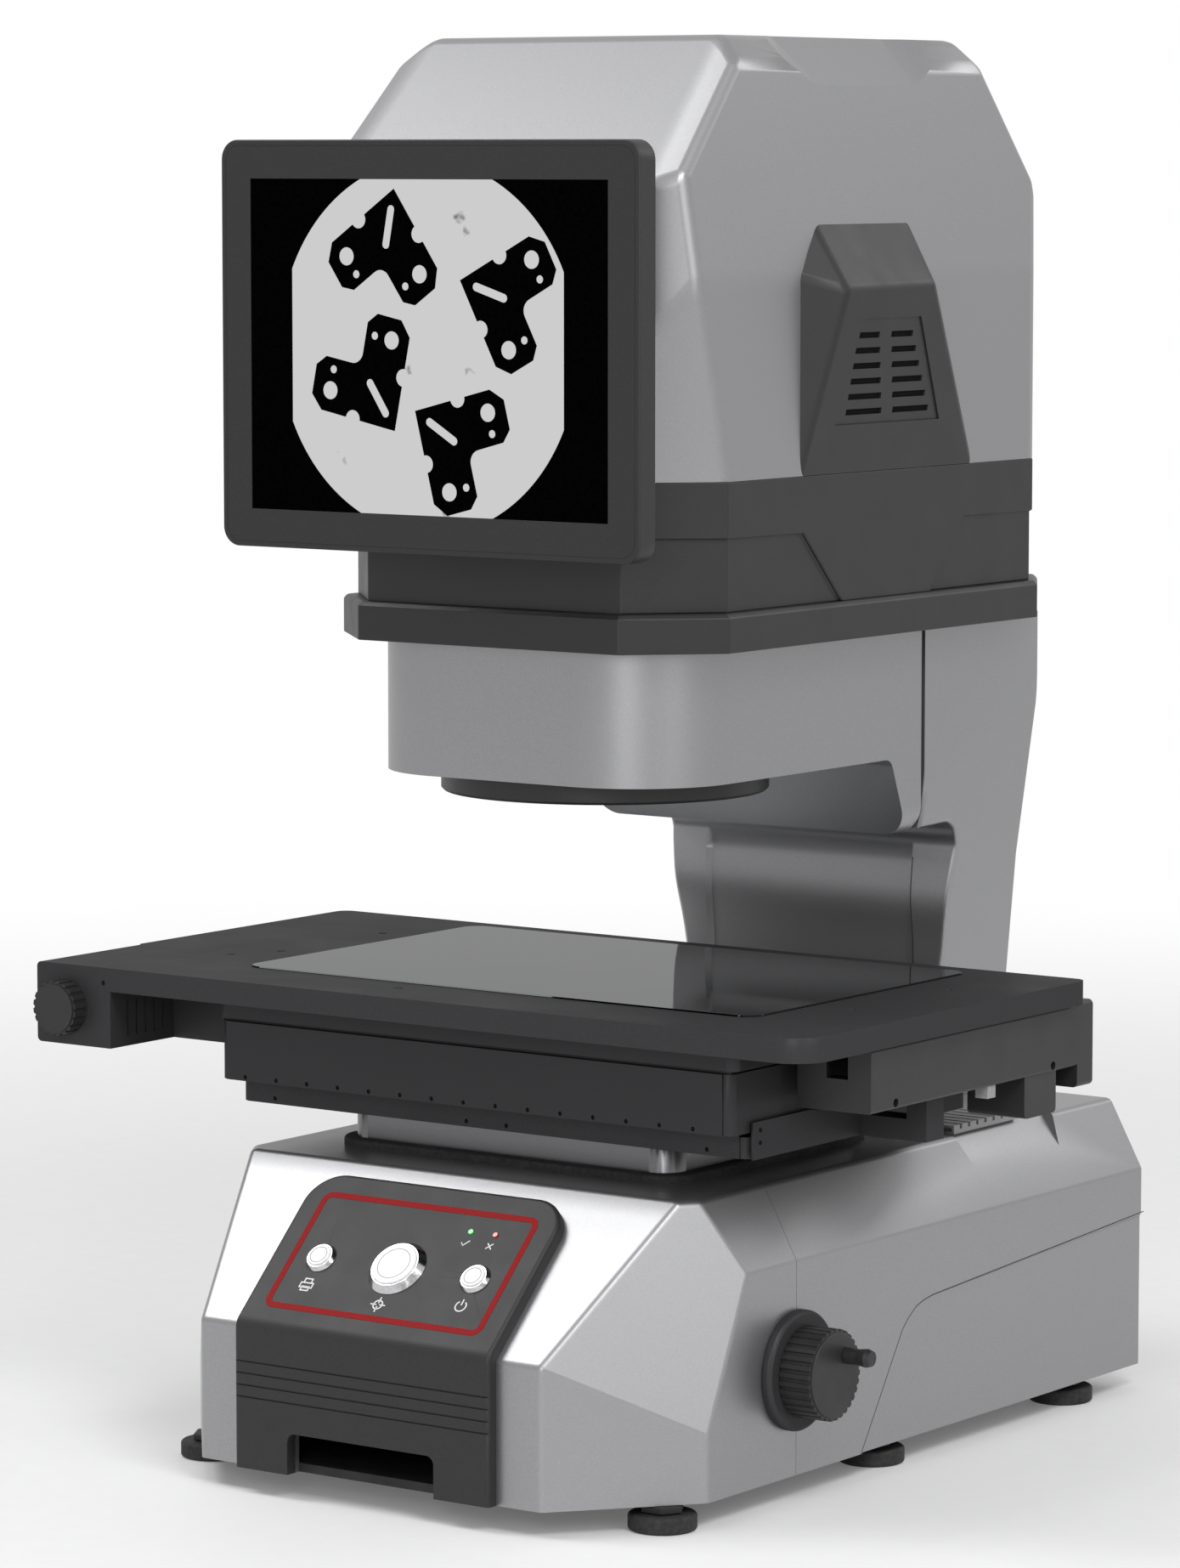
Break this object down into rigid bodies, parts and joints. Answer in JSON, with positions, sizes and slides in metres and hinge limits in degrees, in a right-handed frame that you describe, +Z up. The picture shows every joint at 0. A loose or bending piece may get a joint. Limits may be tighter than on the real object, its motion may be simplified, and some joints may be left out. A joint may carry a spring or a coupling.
{
  "type": "vision measuring machine",
  "caption": "Bench-top vision measuring machine with a column and lens head, lit glass stage on coupled lift and cross slides, handwheel and control panel.",
  "frame": {"origin": "centre of the machine's bounding box, on the surface that its rubber feet stand on", "axes": "+X to the viewer's right when facing the display, which is the handwheel side; +Y towards the rear; +Z up"},
  "size_m": [0.5394, 0.5436, 0.81],
  "materials": {
    "silver_paint": "satin silver-grey paint",
    "dark_paint": "fine-textured near-black paint",
    "stage_black": "black anodised, fine blasted",
    "bare_plate": "plain rolled plate",
    "bright_steel": "ground bright",
    "rubber_black": "matte",
    "red_line": "printed red line",
    "bezel_metal": "satin chrome",
    "lamp_plastic": "clear coloured lens",
    "cap_plastic": "translucent lit cap",
    "knob_plastic": "moulded, fluted",
    "case_plastic": "moulded, fine grain",
    "clear_glass": "polished",
    "screen_glass": "glossy display glass",
    "white_diffuser": "translucent white",
    "lens_tube": "black anodised",
    "light_grey_plastic": "moulded",
    "belt_rubber": "toothed belt rubber"
  },
  "bodies": {
    "stand": {"base_plate": "bare_plate", "base_front_cover": "silver_paint", "base_rear_cover": "silver_paint", "rubber_feet": "rubber_black", "front_trim": "case_plastic", "control_border": "red_line", "button_bezels": "bezel_metal", "status_lamps": "lamp_plastic", "handwheel_flange": "stage_black", "shaft_bearing_blocks": "bright_steel", "rear_port_panel": "dark_paint", "power_inlet": "case_plastic", "column_casting": "silver_paint", "neck_panel": "silver_paint", "lens_housing": "silver_paint", "ring_light_housing": "dark_paint", "ring_light_diffuser": "white_diffuser", "objective_lens": "clear_glass", "lens_barrel": "lens_tube", "camera_body": "lens_tube", "head_lip": "dark_paint", "head_belt": "dark_paint", "head_cover": "silver_paint", "vent_covers": "dark_paint", "display_housing": "case_plastic", "display_glass": "screen_glass", "display_bracket": "dark_paint", "lift_guide_rods": "bright_steel", "pedestal_gasket": "rubber_black", "cable_chain": "case_plastic"},
    "lift": {"pedestal": "stage_black", "lift_rack": "bright_steel", "backlight_lamp": "lens_tube", "collimator_lens": "clear_glass", "lower_carriage": "stage_black", "y_blocks": "bright_steel"},
    "y_slide": {"middle_carriage": "stage_black", "x_guide_frame": "stage_black", "y_rails": "bright_steel", "x_rails": "bright_steel", "right_drive_box": "dark_paint", "right_end_plate": "dark_paint", "y_motor": "stage_black", "limit_sensor": "light_grey_plastic"},
    "x_slide": {"table_plate": "stage_black", "stage_glass": "clear_glass", "x_blocks": "bright_steel", "left_drive_box": "dark_paint", "x_motor": "stage_black", "x_belt": "belt_rubber"},
    "handwheel": {"handwheel": "knob_plastic", "handwheel_shaft": "bright_steel"},
    "crank_grip": {"crank_grip": "knob_plastic"},
    "x_knob": {"x_knob": "knob_plastic"},
    "x_idler": {"x_idler": "bright_steel"},
    "y_screw": {"y_screw": "knob_plastic"},
    "button_print": {"button_print": "cap_plastic"},
    "button_measure": {"button_measure": "cap_plastic"},
    "button_power": {"button_power": "cap_plastic"}
  },
  "joints": [
    {"name": "stage_lift", "type": "slide", "parent": "stand", "child": "lift", "axis": [0, 0, 1], "range_m": [-0.005, 0.045]},
    {"name": "stage_y", "type": "slide", "parent": "lift", "child": "y_slide", "axis": [0, 1, 0], "range_m": [-0.045, 0.045]},
    {"name": "stage_x", "type": "slide", "parent": "y_slide", "child": "x_slide", "axis": [1, 0, 0], "range_m": [-0.1, 0.054]},
    {"name": "handwheel_turn", "type": "hinge", "parent": "stand", "child": "handwheel", "pos_m": [0.19985, -0.10775, 0.074], "axis": [1, 0, 0], "range_deg": [-430, 48]},
    {"name": "crank_grip_spin", "type": "hinge", "parent": "handwheel", "child": "crank_grip", "pos_m": [0.22715, -0.09725, 0.0835], "axis": [1, 0, 0], "continuous": true},
    {"name": "x_knob_turn", "type": "hinge", "parent": "x_slide", "child": "x_knob", "pos_m": [-0.24765, -0.20335, 0.2508], "axis": [0, 1, 0], "range_deg": [-588, 318]},
    {"name": "x_idler_turn", "type": "hinge", "parent": "x_slide", "child": "x_idler", "pos_m": [0.08135, -0.13675, 0.2508], "axis": [0, 1, 0], "range_deg": [-588, 318]},
    {"name": "y_screw_turn", "type": "hinge", "parent": "y_slide", "child": "y_screw", "pos_m": [0.24085, 0.10625, 0.234], "axis": [0, 1, 0], "range_deg": [-1621, 1621]},
    {"name": "press_print", "type": "slide", "parent": "stand", "child": "button_print", "axis": [0, 0.6939, -0.7201], "range_m": [0, 0.0015], "stiffness_N_per_m": 1200, "springref_m": -0.001},
    {"name": "press_measure", "type": "slide", "parent": "stand", "child": "button_measure", "axis": [0, 0.6939, -0.7201], "range_m": [0, 0.0015], "stiffness_N_per_m": 1200, "springref_m": -0.001},
    {"name": "press_power", "type": "slide", "parent": "stand", "child": "button_power", "axis": [0, 0.6939, -0.7201], "range_m": [0, 0.0015], "stiffness_N_per_m": 1200, "springref_m": -0.001}
  ],
  "couplings": [
    {"joint": "handwheel_turn", "follows": "stage_lift", "rad_per_m": -166.67},
    {"joint": "x_knob_turn", "follows": "stage_x", "rad_per_m": 102.56},
    {"joint": "x_idler_turn", "follows": "stage_x", "rad_per_m": 102.56},
    {"joint": "y_screw_turn", "follows": "stage_y", "rad_per_m": 628.32}
  ]
}
